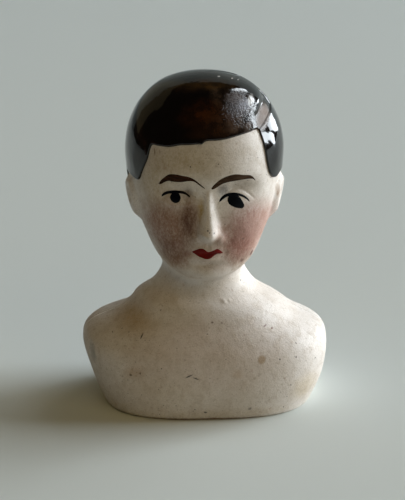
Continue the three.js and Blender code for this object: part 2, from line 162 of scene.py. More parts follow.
def soft_box(name, azimuth, elevation, distance, width, height, level, color, mirrored, roll=0):
    """Rectangular area light aimed at the head. Its level is the brightness that it gives a white card
    facing it there, so its power is level * (pi * distance)^2. Azimuth 0 is the face's side, 90 the
    doll's left, and the roll turns its far end up. It is either mirrored in the glaze or lights the
    matt surfaces."""
    turn, rise = math.radians(azimuth), math.radians(elevation)
    light = bpy.data.lights.new(name, "AREA")
    light.shape = "RECTANGLE"
    light.size, light.size_y = width * mm, height * mm
    light.energy = level * (math.pi * distance * mm) ** 2
    light.color = color
    lamp = bpy.data.objects.new(name, light)
    lamp.location = head_middle + distance * mm * np.array([
        math.sin(turn) * math.cos(rise), -math.cos(turn) * math.cos(rise), math.sin(rise)])
    upright = Matrix.Rotation(turn, 4, "Z") @ Matrix.Rotation(math.pi / 2 - rise, 4, "X")
    lamp.rotation_euler = (upright @ Matrix.Rotation(math.radians(roll), 4, "Z")).to_euler()
    lamp.visible_glossy, lamp.visible_diffuse = mirrored, not mirrored
    bpy.context.scene.collection.objects.link(lamp)
    return lamp


# Azimuth, elevation, distance, width, height, level, colour, whether the glaze mirrors it, and roll.
soft_box("window_light", 105, 14, 5000, 3300, 2400, 1.8, window_color, False)
soft_box("window_far", 142, 36, 5000, 3000, 2000, 0.38, window_color, False)
soft_box("room_front", 30, 28, 1000, 900, 600, 0.155, room_color, False)
soft_box("room_side", -75, 60, 900, 700, 500, 0.08, lamp_color, False)
soft_box("far_pane", 122, 9.6, 1000, 700, 110, 0.27, window_color, True, roll=-23)
soft_box("near_pane", 98, 8.7, 1000, 530, 175, 0.5, window_color, True, roll=-29)
soft_box("skylight_low", 100, 29.5, 1000, 800, 180, 0.9, window_color, True, roll=22)
soft_box("skylight_far", 142, 48, 1000, 130, 420, 0.2, window_color, True)
soft_box("skylight_near", 80, 46, 1000, 460, 330, 0.36, sky_color, True)
soft_box("room_back", -140, 28, 1000, 900, 800, 0.027, room_color, True)
world_color, world_strength = (1, 0.9, 0.7), 0.02
world = bpy.data.worlds.new("room")
world.use_nodes = True
world.node_tree.nodes["Background"].inputs["Color"].default_value = (*world_color, 1)
world.node_tree.nodes["Background"].inputs["Strength"].default_value = world_strength
bpy.context.scene.world = world

# The bisque shell: unglazed white china, pressed in two halves in a plaster mould and luted together on
# a seam over the crown and down the sides. The form is worked out here once and everything painted or
# glazed on it is laid on the same skin.
plate_width = 37.2 * mm
plate_front_depth = 13.3 * mm
plate_back_depth = 10.8 * mm
neck_root_height = 17.5 * mm
neck_width = 12.4 * mm
neck_front_depth = 5.9 * mm
neck_back_depth = 5.3 * mm
jaw_height = 20.5 * mm
head_width = 22.6 * mm
face_depth = 11.5 * mm
skull_depth = 10.8 * mm
seam_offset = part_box("rear_shell")[0].y
overall_height = cad_high.z
hair_height = 0.6 * mm
wall = 1.8 * mm
hand_offset = 0.35 * mm
shoulder_slant = 0.45 * mm
# The shoulders' slant sets in and fades out between these levels.
slant_starts, slant_ends = (1, 3), (6, 8)

# Levels of the form from rim to crown: height at the seam, half width, height and depth at the front,
# height and depth at the back, step aside, and the exponent that squares the plan.
plate_shares = [
    [0, 0.835, 0, 0.935, 0, 0.935, 1, 2.9],
    [0.05, 0.865, 0.05, 0.98, 0.05, 0.975, 1, 2.9],
    [0.26, 0.95, 0.26, 1, 0.26, 1, 1, 2.75],
    [0.51, 1, 0.5, 0.955, 0.51, 0.99, 0.1, 2.5],
    [0.655, 0.935, 0.65, 0.855, 0.65, 0.91, 1, 2.3],
    [0.78, 0.7, 0.77, 0.745, 0.755, 0.75, 2.6, 2.25],
    [0.9, 0.575, 0.895, 0.63, 0.885, 0.62, 1.3, 2.2],
]
neck_shares = [
    [0.02, 1.27, -0.08, 1.13, 0.12, 1.15, 0, 2.1],
    [0.93, 1, 0.6, 1, 1.37, 1, -0.6, 2.1],
]
head_shares = [
    [0.062, 0.6, 0, 0.71, 0.128, 0.575, -0.3, 2.1],
    [0.135, 0.71, 0.048, 0.94, 0.211, 0.74, 0, 2.1],
    [0.232, 0.815, 0.163, 0.985, 0.308, 0.89, 0, 2.1],
    [0.349, 0.93, 0.301, 1, 0.412, 0.97, 0, 2.1],
    [0.474, 0.99, 0.46, 0.99, 0.522, 1, 0, 2.15],
    [0.606, 1, 0.612, 1, 0.647, 0.97, 0, 2.15],
    [0.744, 0.95, 0.751, 0.925, 0.779, 0.88, 0, 2.1],
    [0.869, 0.79, 0.869, 0.74, 0.893, 0.715, 0, 2.05],
    [0.962, 0.5, 0.962, 0.46, 0.97, 0.455, 0, 2],
    [1, 0, 1, 0, 1, 0, 0, 2],
]
head_half = head_width / 2
head_rise = overall_height - hair_height - jaw_height


def sized(shares, foot, rise, half, front, back):
    """A zone's rows in metres: every share times the size that it follows."""
    scale = np.array([rise, half, rise, front, rise, back, hand_offset, 1])
    start = np.array([foot, 0, foot, 0, foot, 0, 0, 0])
    return start + np.array(shares) * scale


form_levels = np.concatenate([
    sized(plate_shares, 0, neck_root_height, plate_width / 2, plate_front_depth, plate_back_depth),
    sized(neck_shares, neck_root_height, jaw_height - neck_root_height, neck_width / 2, neck_front_depth,
          neck_back_depth),
    sized(head_shares, jaw_height, head_rise, head_half, face_depth, skull_depth),
])
crown_level = len(form_levels) - 1
jaw_level = len(plate_shares) + len(neck_shares)
dome_level = crown_level - 2


def spline(rows, start, part):
    """Catmull-Rom curve from row start + 1 to row start + 2, as part goes from 0 to 1."""
    a, b, c, d = (rows[start + step] for step in range(4))
    bend = 2 * a - 5 * b + 4 * c - d + part * (3 * (b - c) + d - a)
    return b + 0.5 * part * (c - a + part * bend)


def columns_at(level):
    """The spline through all columns of the levels at once. Beyond the crown the rows go on as a
    mirror image, with the sign of the half width and of the depths turned, so that the crown is round."""
    first = 2 * form_levels[:1] - form_levels[1:2]
    last = form_levels[-2:-1] * np.array([1, -1, 1, -1, 1, -1, 1, 1])
    rows = np.concatenate([first, form_levels, last])
    start = np.clip(np.floor(level).astype(int), 0, crown_level - 1)
    return np.moveaxis(spline(rows, start, (level - start)[..., None]), -1, 0)


def smooth_rise(low, high, value):
    """0 below low, 1 above high, and the cubic 3s^2 - 2s^3 of the share s in between."""
    share = np.clip((value - low) / (high - low), 0, 1)
    return share * share * (3 - 2 * share)


def bell(across, up, spread_across, spread_up):
    """exp(-(across/spread)^2 - (up/spread)^2)."""
    return np.exp(-(across / spread_across) ** 2 - (up / spread_up) ** 2)


def plain_form(level, angle):
    """Superellipse at each level: |cos|^(2/n) of the half width across and |sin|^(2/n) of the depth fore
    and aft, rising by sin^2 from the seam to the front or back height. 0 degrees is the doll's left, 90
    the face. The right shoulder stands a little higher."""
    level, angle = np.broadcast_arrays(np.asarray(level, float), np.asarray(angle, float))
    side, half, front_rise, front, back_rise, back, aside, square = columns_at(level)
    turn = np.radians(angle)
    cos = np.cos(turn)
    sin = np.where(np.mod(angle, 180) == 0, 0, np.sin(turn))
    ahead = sin >= 0
    reach = np.where(ahead, -front, back) * np.abs(sin) ** (2 / square)
    rise = np.where(ahead, front_rise, back_rise) - side
    shoulder = smooth_rise(*slant_starts, level) * (1 - smooth_rise(*slant_ends, level))
    return np.stack([
        half * np.sign(cos) * np.abs(cos) ** (2 / square) + aside,
        seam_offset + reach,
        side + rise * sin ** 2 - shoulder_slant * shoulder * cos,
    ], -1)


# Relief of the face, as shares of the nose's height: place across and up the head, spread both ways,
# relief. Brows, sockets, eyes, cheeks and temples come first, then the nose's tip and wings, the mouth
# and the chin.
nose_height = 2.3 * mm
face_shares = [
    [0.37, 0.571, 0.3, 0.052, 0.13],
    [0.354, 0.491, 0.257, 0.066, -0.4],
    [0.407, 0.46, 0.168, 0.042, 0.24],
    [0.46, 0.28, 0.265, 0.104, 0.15],
    [0.72, 0.51, 0.13, 0.09, 0.12],
    [0, 0.268, 0.13, 0.034, 0.2],
    [0.15, 0.262, 0.06, 0.026, 0.2],
    [0, 0.183, 0.283, 0.069, 0.15],
    [0, 0.2, 0.17, 0.016, 0.13],
    [0, 0.151, 0.13, 0.018, 0.16],
    [0, 0.177, 0.19, 0.008, -0.08],
    [0, 0.225, 0.022, 0.03, -0.05],
    [0.21, 0.18, 0.04, 0.016, -0.06],
    [0, 0.118, 0.195, 0.017, -0.13],
    [0, 0.062, 0.23, 0.045, 0.24],
]
# Fine folds: middle across and up, half length, droop at the ends, spread, relief. They are the fold of
# each upper lid, its edge, and the edge of the lower lid.
fold_shares = [
    [0.36, 0.5, 0.22, 0.05, 0.008, -0.05],
    [0.36, 0.49, 0.21, 0.046, 0.007, 0.02],
    [0.39, 0.424, 0.2, -0.014, 0.01, 0.04],
]
nose_top, nose_tip, nose_foot = 0.516, 0.29, 0.226
bridge_width, tip_width, bridge_relief, tip_relief = 0.048, 0.145, 0.15, 0.84
tip_round = 0.036
bridge_shape, tip_shape = 1.9, 2.9
bridge_fade, rise_power = 0.25, 1.5
fold_ends = (1.3, 0.7)
# The relief sets in between these shares of facing forward, and the ears between these of facing aside.
face_edge, ear_edge = (0.25, 0.6), (0.25, 0.7)


def nose_ridge(across, up):
    """Ridge that grows from the bridge down to the tip as a power of the way down. Its section is
    exp(-|across/width|^n), with n from the bridge's shape to the tip's. It turns under at the foot, which
    rises with (across/width)^2 so that the tip is round."""
    down = np.clip((nose_top - up) / (nose_top - nose_tip), 0, 1)
    relief = bridge_relief * smooth_rise(0, bridge_fade, down)
    relief = relief + (tip_relief - bridge_relief) * down ** rise_power
    off = np.abs(across / (bridge_width + (tip_width - bridge_width) * down ** 2))
    foot = smooth_rise(nose_foot, nose_tip, up - tip_round * np.minimum(off, 2) ** 2)
    return relief * np.exp(-off ** (bridge_shape + (tip_shape - bridge_shape) * down)) * foot


def lid_fold(across, up, height, half, droop, spread):
    """exp(-(off/spread)^2) of the distance off a parabola that droops at its ends, faded out there."""
    along = across / half
    fold = np.exp(-((up - height + droop * along ** 2) / spread) ** 2)
    return fold * smooth_rise(*fold_ends, np.abs(along))


def face_relief(x, z):
    """Sum of the nose's ridge and the bells and folds of the tables, both sides alike."""
    across, up = x / head_half, (z - jaw_height) / head_rise
    relief = nose_ridge(across, up)
    for place, height, spread_across, spread_up, share in face_shares:
        for side in ([0] if place == 0 else [-place, place]):
            relief = relief + share * bell(across - side, up - height, spread_across, spread_up)
    for place, height, half, droop, spread, share in fold_shares:
        for side in (-place, place):
            relief = relief + share * lid_fold(across - side, up, height, half, droop, spread)
    return relief * nose_height


ear_height = 0.85 * mm
ear_hollow = 0.75 * mm
ear_width = 4.4 * mm
ear_length = 6.6 * mm
ear_forward = 1.6 * mm
ear_rise_share = 0.394
ear_lean = 0.16
rim_shares = (0.62, 1.12)
hollow_share, hollow_spread_share = 0.12, 0.42


def ear_relief(y, z):
    """Leaning oval with a rounded rim, less a bell for its hollow."""
    up = z - jaw_height - ear_rise_share * head_rise
    across = (y + ear_forward - ear_lean * up) / (ear_width / 2)
    along = up / (ear_length / 2)
    rim = 1 - smooth_rise(*rim_shares, np.hypot(across, along))
    hollow = bell(across + hollow_share, along - hollow_share, hollow_spread_share, hollow_spread_share)
    return ear_height * rim - ear_hollow * hollow


def skin(level, angle):
    """Plain form with the face pushed forward and the ears pushed out sideways."""
    level, angle = np.broadcast_arrays(np.asarray(level, float), np.asarray(angle, float))
    points = plain_form(level, angle)
    turn = np.radians(angle)
    fade_in = smooth_rise(jaw_level - 1, jaw_level, level)
    facing = smooth_rise(*face_edge, np.sin(turn)) * fade_in
    aside = columns_at(level)[6]
    points[..., 1] -= face_relief(points[..., 0] - aside, points[..., 2]) * facing
    beside = smooth_rise(*ear_edge, np.abs(np.cos(turn))) * fade_in * ((angle >= 0) & (angle <= 180))
    points[..., 0] += np.sign(np.cos(turn)) * ear_relief(points[..., 1], points[..., 2]) * beside
    return points


# Grains of clay that stuck to the skin before firing: place, radius and height.
grain_table = np.array([
    [-4.4, -5.3, 16.6, 0.32, 0.16], [-3.7, -5.6, 16.2, 0.2, 0.1], [2.6, -5.7, 16.6, 0.36, 0.17],
    [3.4, -5.5, 16.8, 0.26, 0.14], [1.9, -6, 16.1, 0.2, 0.1], [4.3, -5.6, 16, 0.2, 0.1],
    [-8.2, -5.6, 14.6, 0.24, 0.1],
]) * mm


def grained(points):
    """Pushes the skin forward by height * exp(-(distance/radius)^2) at every grain."""
    for *place, radius, height in grain_table:
        off = np.linalg.norm(points - np.array(place), axis=-1)
        points[..., 1] -= height * np.exp(-(off / radius) ** 2)
    return points


hollow_top = crown_level - 0.8
slope_reach = 0.02


def inner_skin(level, angle):
    """Plain form set in by the wall square to its own slope, straight down below the first level and
    drawn in to a round top under the crown."""
    at = np.clip(level, 1, hollow_top)
    along = plain_form(at + slope_reach, angle) - plain_form(at - slope_reach, angle)
    around = plain_form(at, angle + 1) - plain_form(at, angle - 1)
    inward = np.cross(around, along)
    inward /= np.linalg.norm(inward, axis=-1, keepdims=True)
    points = plain_form(at, angle) + wall * inward
    below = level < 1
    points[..., 2] = np.where(below, plain_form(level, angle)[..., 2], points[..., 2])
    tip = plain_form(crown_level, 0) - np.array([0, 0, wall])
    dome = np.clip((level - hollow_top) / (crown_level - hollow_top), 0, 1)[..., None]
    return np.where(dome > 0, tip + (points - tip) * np.cos(dome * math.pi / 2), points)


def shell_half(angles, inner_angles, levels):
    """Rings of a closed C: out along the skin from one seam to the other and back along the hollow. The
    rings run from the rim to the crown, where they close, and the flat rim is one face."""
    outer = grained(skin(levels[:, None], angles[None, :]))
    inner = inner_skin(levels[:, None], inner_angles[None, ::-1])
    rings = np.concatenate([outer, inner], 1)
    rows, columns = rings.shape[:2]
    faces = [face[::-1] for face in grid_faces(rows, columns, True)]
    faces.append(list(range(columns)))
    return rings, faces


def mark_inside(piece, rings, outer_columns):
    """Gives the points of the hollow side the value 1 in an attribute of the mesh, the outer ones 0."""
    rows, columns = rings.shape[:2]
    inside = np.broadcast_to(np.arange(columns) >= outer_columns, (rows, columns))
    attribute = piece.data.attributes.new("inside", "FLOAT", "POINT")
    attribute.data.foreach_set("value", inside.astype(np.float32).ravel())


weld_distance = 0.0005 * mm


def close_poles(piece):
    """Merges points that lie on each other, which closes the pole at the crown."""
    shape = bmesh.new()
    shape.from_mesh(piece.data)
    bmesh.ops.remove_doubles(shape, verts=shape.verts, dist=weld_distance)
    shape.to_mesh(piece.data)
    shape.free()
    piece.data.update()
    return piece


def runs(*parts):
    """Joins evenly spaced runs of level numbers, each given as from, to and count."""
    values = [np.linspace(low, high, count, endpoint=False) for low, high, count in parts]
    return np.concatenate([*values, [parts[-1][1]]])


# The front half has its columns closer together at the face than at the seam, and most of its rows there.
face_crowding = 0.28
front_columns, rear_columns, inner_columns = 221, 141, 41
front_share = np.linspace(-1, 1, front_columns)
front_angles = 90 + 90 * front_share * (1 - face_crowding + face_crowding * front_share ** 2)
rear_angles = np.linspace(180, 360, rear_columns)
front_levels = runs((0, 1, 10), (1, 6, 60), (6, 9, 60), (9, 14.2, 190), (14.2, crown_level, 50))
rear_levels = runs((0, 1, 10), (1, 9, 70), (9, crown_level, 90))


def add_node(tree, kind, *inputs, output=0, **settings):
    """Adds a node, sets its own settings, fills its inputs in order with values or with other nodes'
    outputs (None leaves one alone) and gives back one of its outputs."""
    made = tree.nodes.new(kind)
    for name, value in settings.items():
        setattr(made, name, value)
    for socket, value in zip(made.inputs, inputs):
        if isinstance(value, bpy.types.NodeSocket):
            tree.links.new(value, socket)
        elif value is not None:
            socket.default_value = value
    return made.outputs[output]


def sums(tree, operation, *inputs):
    """A maths node on single values."""
    return add_node(tree, "ShaderNodeMath", *inputs, operation=operation)


def times(tree, value, factor):
    """One value times another."""
    return sums(tree, "MULTIPLY", value, factor)


def vectors(tree, operation, *inputs, output=0):
    """A maths node on vectors."""
    return add_node(tree, "ShaderNodeVectorMath", *inputs, operation=operation, output=output)


def blend(tree, mask, below, above, way="MIX"):
    """Lays one colour on another through a mask."""
    tones = [(*tone, 1) if isinstance(tone, tuple) else tone for tone in (below, above)]
    return add_node(tree, "ShaderNodeMix", mask, None, None, None, None, None, *tones, output=2,
                    data_type="RGBA", blend_type=way)


def fitted(tree, value, low, high, to_low=0.0, to_high=1.0):
    """Runs a value smoothly from one end to the other as it passes from low to high."""
    return add_node(tree, "ShaderNodeMapRange", value, low, high, to_low, to_high,
                    interpolation_type="SMOOTHSTEP")


def effect(name, *sockets):
    """An empty node group with the given inputs and one result called Mask."""
    group = bpy.data.node_groups.new(name, "ShaderNodeTree")
    for label, start in sockets:
        kind = "NodeSocketVector" if isinstance(start, tuple) else "NodeSocketFloat"
        group.interface.new_socket(label, in_out="INPUT", socket_type=kind).default_value = start
    group.interface.new_socket("Mask", in_out="OUTPUT", socket_type="NodeSocketFloat")
    given = group.nodes.new("NodeGroupInput").outputs
    return group, given, group.nodes.new("NodeGroupOutput").inputs[0]


# Places inside the materials are millimetres of the shared frame, taken from the Object coordinates.
noise_roughness = 0.6
dot_core = 0.4
place_group, given, result = effect("soft_spot", ("At", (0, 0, 0)), ("Place", (0, 0, 0)),
                                    ("Size", (1, 1, 1)), ("Turn", 0.0), ("Edge", 0.5))
away = vectors(place_group, "SUBTRACT", given["At"], given["Place"])
away = add_node(place_group, "ShaderNodeVectorRotate", away, None, None, given["Turn"],
                rotation_type="Y_AXIS")
far = vectors(place_group, "LENGTH", vectors(place_group, "DIVIDE", away, given["Size"]), output=1)
inner_edge = sums(place_group, "SUBTRACT", 1.0, given["Edge"])
place_group.links.new(fitted(place_group, far, 1.0, inner_edge), result)

speck_group, given, result = effect("specks", ("At", (0, 0, 0)), ("Scale", 1.0), ("Amount", 0.2),
                                    ("Size", 0.2))
cells = add_node(speck_group, "ShaderNodeTexVoronoi", given["At"], None, given["Scale"])
cell_color = add_node(speck_group, "ShaderNodeSeparateColor", cells.node.outputs["Color"])
radius = times(speck_group, given["Size"], cell_color.node.outputs[1])
dot = fitted(speck_group, cells, radius, times(speck_group, radius, dot_core))
present = sums(speck_group, "LESS_THAN", cell_color, given["Amount"])
speck_group.links.new(times(speck_group, dot, present), result)

mottle_group, given, result = effect("mottle", ("At", (0, 0, 0)), ("Scale", 1.0), ("Detail", 4.0),
                                     ("Low", 0.35), ("High", 0.65))
cloud = add_node(mottle_group, "ShaderNodeTexNoise", given["At"], None, given["Scale"], given["Detail"],
                 noise_roughness)
mottle_group.links.new(fitted(mottle_group, cloud, given["Low"], given["High"]), result)


def spot(tree, at, place, size, edge=0.6, turn=0):
    """Soft-edged spot: centre and half sizes in millimetres, turned about Y by some degrees."""
    return add_node(tree, "ShaderNodeGroup", at, place, size, math.radians(turn), edge,
                    node_tree=place_group)


def specks(tree, at, scale, amount, size):
    """Scattered dots, so many to a millimetre, of which a share is shown."""
    return add_node(tree, "ShaderNodeGroup", at, scale, amount, size, node_tree=speck_group)


def mottle(tree, at, scale, detail, low, high):
    """Cloudy mask, 0 where the noise is below low and 1 where it is above high."""
    return add_node(tree, "ShaderNodeGroup", at, scale, detail, low, high, node_tree=mottle_group)


def places_in(tree, ragged):
    """Object coordinates in millimetres, and the same moved about by a noise so that edges are ragged."""
    at = vectors(tree, "SCALE", add_node(tree, "ShaderNodeTexCoord", output=3))
    at.node.inputs["Scale"].default_value = 1 / mm
    stir = add_node(tree, "ShaderNodeTexNoise", at, None, 0.9, 4.0, noise_roughness, output=1)
    stir = vectors(tree, "SUBTRACT", stir, (0.5, 0.5, 0.5))
    return at, vectors(tree, "MULTIPLY_ADD", stir, (ragged, ragged, ragged), at)


def less_stirred(tree, at, stirred, share):
    """Places moved only a share of the way from the plain ones to the stirred ones."""
    moved = vectors(tree, "SUBTRACT", stirred, at)
    return vectors(tree, "MULTIPLY_ADD", moved, (share, share, share), at)


def tinted(tree, color, at, rows, texture=None, way="MIX"):
    """Lays spots on a colour one after the other, broken up by a texture if there is one. A row holds a
    spot's centre, half sizes, width of the edge, turn in degrees, strength and colour."""
    for place, size, edge, turn, strength, tint in rows:
        mask = times(tree, spot(tree, at, place, size, edge, turn), strength)
        if texture is not None:
            mask = times(tree, mask, texture)
        color = blend(tree, mask, color, tint, way)
    return color


def bumped(material, height, strength, depth):
    """Turns the shader's normals by a height that changes over the surface."""
    bump = add_node(material.node_tree, "ShaderNodeBump").node
    bump.inputs["Strength"].default_value = strength
    bump.inputs["Distance"].default_value = depth
    material.node_tree.links.new(height, bump.inputs["Height"])
    normal = material.node_tree.nodes["Principled BSDF"].inputs["Normal"]
    material.node_tree.links.new(bump.outputs["Normal"], normal)


# Blush, soil and painted shade, which darken the clay. The first rows are the blush of the cheeks, laid on
# with a dry brush; on the right cheek and jaw it is browner and darker as painted shade. Other rows are
# painted shade on the shaded right side, in the eyes' sockets and folds and beside the nose, and a painted
# shadow along the foot of the rim.
blush = (0.68, 0.46, 0.41)
# The blush of the shaded right cheek, darker and browner as painted shade.
blush_in_shade = (0.5, 0.33, 0.26)
blush_soil_and_shade = [
    # Blush on the right cheek and jaw, partly painted shade.
    [(-6, -7.5, 29), (6.4, 11, 6.2), 0.8, 10, 1.1, blush_in_shade],
    [(-2.6, -9, 31), (1.9, 6, 3.4), 0.8, 0, 0.9, blush_in_shade],
    [(-4.8, -8, 25.4), (3.8, 6, 3.8), 0.8, 20, 0.85, blush_in_shade],
    [(6.6, -7.5, 28.2), (7.4, 12, 6), 0.7, 0, 1.3, blush],
    # Painted shade: a grey wash that dims the lit left cheek.
    [(5.2, -8, 29.8), (5, 7, 5.4), 0.8, 0, 0.9, (0.68, 0.62, 0.6)],
    # Blush low on the left cheek, and small touches by the mouth and the nose.
    [(4.2, -8, 26.4), (3.6, 6, 3.8), 0.8, -20, 0.85, blush],
    [(-3.1, -9, 25.6), (1.2, 4, 0.8), 0.9, 0, 0.7, blush],
    [(1.5, -10, 28), (1.1, 4, 1), 0.9, 0, 0.5, blush],
    # Painted shade: olive on the shaded right flank of the nose.
    [(-1.1, -11, 32.2), (0.8, 4, 2.7), 0.9, -4, 1.1, (0.62, 0.48, 0.2)],
    # Grey soil with painted shade at the inner corner of the left eye.
    [(2.2, -10.5, 35), (1.3, 4, 1.7), 0.8, 0, 1.1, (0.4, 0.4, 0.4)],
    # Painted shade in the fold above the left eye.
    [(4.2, -9.5, 36.4), (3, 4, 0.4), 0.8, -4, 0.4, (0.55, 0.5, 0.45)],
    # A brownish tint with painted shade on the left of the chin and jaw.
    [(4.8, -6.5, 23.8), (4.2, 7, 2.3), 0.7, -20, 0.9, (0.64, 0.55, 0.48)],
    # Painted shade at the inner corner of the right eye.
    [(-2.9, -10, 34.4), (1.1, 4, 1.4), 0.8, 0, 0.8, (0.42, 0.38, 0.33)],
    # Blush with painted shade on the shaded right jaw.
    [(-5.2, -7, 24), (4.6, 7, 2.8), 0.8, 20, 1, (0.66, 0.54, 0.43)],
    # A pale grey wash on the left temple.
    [(10.6, -4, 35), (0.7, 1.4, 2.6), 0.8, 0, 0.5, (0.7, 0.67, 0.64)],
    # Painted shade in the left eye's socket, under the brow.
    [(5, -9, 35.7), (2.8, 4, 1.4), 0.9, 0, 0.7, (0.5, 0.45, 0.4)],
    # Painted shade along the shaded right side of the nose.
    [(-2.8, -9.5, 30.4), (2.3, 5, 6), 0.9, 0, 1.1, (0.42, 0.31, 0.21)],
    # Painted shade, broad and warm, over the shaded right cheek.
    [(-5.4, -8, 29.5), (6.4, 8, 7.6), 0.7, 0, 0.8, (0.82, 0.74, 0.66)],
    # A brownish tint with painted shade over the lower face.
    [(2, -9, 25.6), (8, 8, 5.4), 0.9, 0, 0.75, (0.62, 0.5, 0.42)],
    # Painted shade, warm, over the forehead and the shaded right temple.
    [(-2.5, -8, 39.2), (8, 6, 5), 0.9, 0, 1.1, (0.68, 0.6, 0.44)],
    [(-7.5, -7, 36), (5, 6, 7), 0.9, 0, 0.9, (0.68, 0.6, 0.46)],
    # A pink tint on the chest, then small washes.
    [(0, -12, 10), (16, 12, 8), 0.7, 0, 0.5, (0.94, 0.86, 0.86)],
    [(-4.7, -9, 34.3), (1.9, 4, 0.9), 0.7, 0, 0.2, (0.5, 0.52, 0.52)],
    [(10.7, -3.4, 33), (0.7, 1.6, 1.4), 0.8, 0, 0.6, (0.6, 0.42, 0.28)],
    [(2.4, -9.5, 24.9), (0.5, 3, 0.35), 0.8, -20, 0.5, (0.4, 0.33, 0.25)],
    [(-3, -8, 21.6), (3.5, 5, 2), 0.9, 0, 0.35, (0.6, 0.45, 0.3)],
    # Painted shade on the shaded right shoulder.
    [(-12.5, -5, 14.6), (7.5, 10, 3), 0.9, -20, 0.9, (0.75, 0.6, 0.38)],
    # Small washes on the chest.
    [(-11, -10, 7.4), (2.4, 5, 1.6), 0.9, 10, 0.6, (0.66, 0.5, 0.34)],
    [(4.3, -12, 7.4), (1.2, 5, 1), 0.9, 0, 0.5, (0.7, 0.55, 0.4)],
    # Painted shade, faint, low on the right of the chest.
    [(-7, -11, 5), (8, 8, 5), 0.9, 0, 0.3, (0.78, 0.68, 0.48)],
    # Washes low on the plate.
    [(14.4, -8, 4), (3.6, 6, 2.6), 0.8, 20, 0.45, (0.78, 0.66, 0.4)],
    [(4, -12, 1), (14, 6, 1.4), 0.9, 0, 0.4, (0.75, 0.66, 0.5)],
    # Painted shadow along the foot of the rim.
    [(-2, -12, 0), (15, 6, 0.5), 0.8, 0, 1, (0.5, 0.3, 0.22)],
    # Painted shade, grey-green, on the right edge of the plate.
    [(-17.2, -6, 9), (0.7, 3, 2.4), 0.7, 10, 0.6, (0.35, 0.38, 0.36)],
]
# Marks with firm edges, painted over the clay's colour.
marks = [
    [(7.87, -11.2, 9.13), (0.85, 3, 0.8), 0.5, 0, 0.75, (0.4, 0.27, 0.15)],
    [(-9.75, -9, 12.2), (0.6, 3, 0.16), 0.7, 60, 1, (0.05, 0.04, 0.03)],
    [(-2.9, -12, 7.15), (0.85, 3, 0.13), 0.7, 25, 1, (0.05, 0.045, 0.035)],
    [(-1.9, -12, 6.8), (0.6, 3, 0.12), 0.7, -20, 1, (0.06, 0.05, 0.04)],
    [(6.4, -10, 11.7), (0.1, 3, 0.45), 0.7, 15, 0.8, (0.8, 0.78, 0.74)],
    [(0.66, -8.1, 14.2), (0.22, 3, 0.14), 0.6, 0, 0.8, (0.12, 0.06, 0.03)],
    [(2.14, -8.1, 14.1), (0.14, 3, 0.22), 0.6, 0, 0.7, (0.15, 0.08, 0.05)],
    [(-0.05, -9.6, 12.76), (0.12, 3, 0.1), 0.6, 0, 0.8, (0.1, 0.06, 0.04)],
    [(8.6, -7.3, 13.2), (0.4, 3, 0.13), 0.6, 20, 0.7, (0.16, 0.06, 0.035)],
    [(9.64, -7.4, 12.8), (0.22, 3, 0.16), 0.6, 0, 0.75, (0.18, 0.06, 0.035)],
    [(-0.5, -12, 1.4), (0.35, 3, 0.16), 0.6, 0, 0.85, (0.05, 0.045, 0.04)],
    [(-2.1, -12, 1.9), (0.14, 3, 0.12), 0.6, 0, 0.85, (0.05, 0.045, 0.04)],
    [(-11.5, -10.5, 6.9), (0.3, 3, 0.2), 0.6, 0, 0.75, (0.1, 0.07, 0.04)],
    [(-10.1, -11, 7.3), (0.16, 3, 0.25), 0.6, 0, 0.7, (0.1, 0.07, 0.04)],
    [(12.3, -10.3, 4.8), (0.14, 3, 0.16), 0.6, 0, 0.8, (0.08, 0.06, 0.04)],
    [(16.3, -7.2, 7.7), (0.14, 3, 0.14), 0.6, 0, 0.8, (0.08, 0.06, 0.04)],
    [(6.1, -11.8, 1.8), (0.4, 3, 0.3), 0.7, 0, 0.6, (0.16, 0.14, 0.12)],
    [(6.6, -6.3, 24.3), (0.3, 4, 0.6), 0.6, -25, 1, (0.12, 0.035, 0.02)],
    [(5, -8.1, 23.8), (0.42, 4, 0.42), 0.7, 0, 0.85, (0.12, 0.05, 0.03)],
    [(-0.21, -12.3, 29.66), (0.19, 2, 0.15), 0.6, 0, 0.9, (0.03, 0.025, 0.02)],
    [(0.08, -12.4, 29.4), (0.12, 2, 0.11), 0.6, 0, 0.8, (0.05, 0.04, 0.03)],
    [(0.76, -12.1, 29.25), (0.13, 2, 0.13), 0.6, 0, 0.9, (0.03, 0.025, 0.02)],
    [(-2.56, -10, 38.7), (0.16, 2, 0.15), 0.6, 0, 0.9, (0.05, 0.03, 0.02)],
    [(-7.6, -7.2, 40.2), (0.14, 2, 0.7), 0.8, 0, 0.7, (0.14, 0.07, 0.035)],
    [(-6.9, -7.6, 40.4), (0.1, 2, 0.45), 0.8, 0, 0.5, (0.16, 0.09, 0.05)],
    [(10.6, -3.3, 32.6), (0.3, 1, 0.5), 0.8, 0, 0.5, (0.28, 0.16, 0.09)],
]

# The clay's white and the clouds, patches, flecks and specks in it, then its roughness and relief.
clay_white, clay_dull = (0.75, 0.69, 0.64), (0.62, 0.54, 0.47)
clay_patch, clay_fleck = (0.52, 0.43, 0.34), (0.38, 0.29, 0.2)
chip_white, rust_brown, pepper_brown = (0.8, 0.77, 0.7), (0.4, 0.23, 0.15), (0.3, 0.22, 0.15)
fine_brown, coarse_black = (0.16, 0.1, 0.06), (0.07, 0.045, 0.03)
grain_shade, inside_shade = (0.5, 0.46, 0.4), (0.42, 0.31, 0.2)
smooth_clay, rough_clay = 0.52, 0.68
clay_relief, clay_bump = 0.06 * mm, 0.6
bisque = principled("bisque", (0.62, 0.56, 0.5), 0.6)
tree = bisque.node_tree
shader = tree.nodes["Principled BSDF"]
at, stirred = places_in(tree, ragged=0.9)
broad = mottle(tree, at, scale=0.16, detail=3, low=0.38, high=0.7)
patchy = mottle(tree, at, scale=0.7, detail=5, low=0.4, high=0.75)
grain = mottle(tree, at, scale=5, detail=3, low=0.25, high=0.75)
